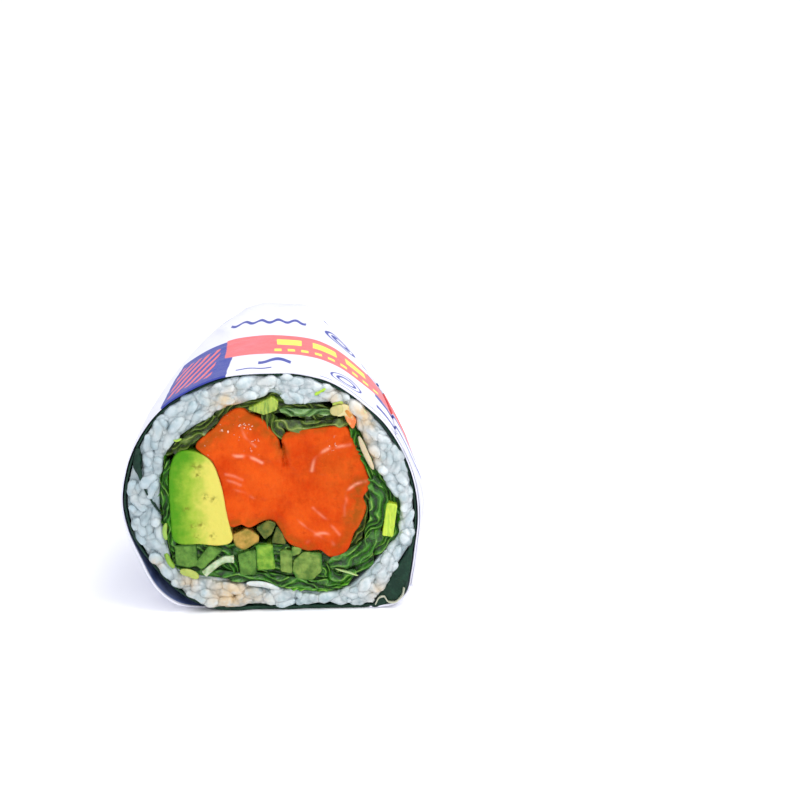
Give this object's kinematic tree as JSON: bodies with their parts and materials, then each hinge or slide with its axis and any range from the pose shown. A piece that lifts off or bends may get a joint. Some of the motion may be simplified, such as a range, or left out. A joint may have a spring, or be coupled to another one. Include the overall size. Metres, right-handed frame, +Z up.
{
  "type": "sushi burrito half",
  "caption": "Half of a sushi burrito in its paper: rice and seaweed round salmon, avocado, cucumber and lettuce.",
  "frame": {"origin": "centre of the bounding box, at the underside that it rests on", "axes": "+Y from the cut face to the folded end, +X to the right seen from the front, +Z up"},
  "size_m": [0.0706, 0.0946, 0.0583],
  "materials": {
    "paper": "smooth printed wrap",
    "nori": "dark damp seaweed",
    "rice": "moist, sticky",
    "salmon": "wet raw fish",
    "avocado": "creamy",
    "cucumber": "moist cut",
    "lettuce": "waxy leaf",
    "stalk": "moist cut",
    "radish": "moist cut",
    "sauce": "thick sauce"
  },
  "bodies": {
    "root": {"wrapper": "paper", "wrapper_flap": "paper", "nori": "nori", "rice": "rice", "salmon": "salmon", "avocado": "avocado", "green_stalk": "stalk", "scallion": "stalk", "pale_strip": "radish", "sauce": "sauce", "cucumber_1": "cucumber", "cucumber_2": "cucumber", "cucumber_3": "cucumber", "cucumber_4": "cucumber", "cucumber_5": "cucumber", "cucumber_6": "cucumber", "cucumber_7": "cucumber", "cucumber_8": "cucumber", "cucumber_9": "cucumber", "cucumber_10": "cucumber", "lettuce_left": "lettuce", "lettuce_top_left": "lettuce", "lettuce_top_inner": "lettuce", "lettuce_top_outer": "lettuce", "lettuce_right": "lettuce", "lettuce_right_folds": "lettuce", "lettuce_lower_folds": "lettuce", "lettuce_bottom": "lettuce"}
  },
  "joints": []
}
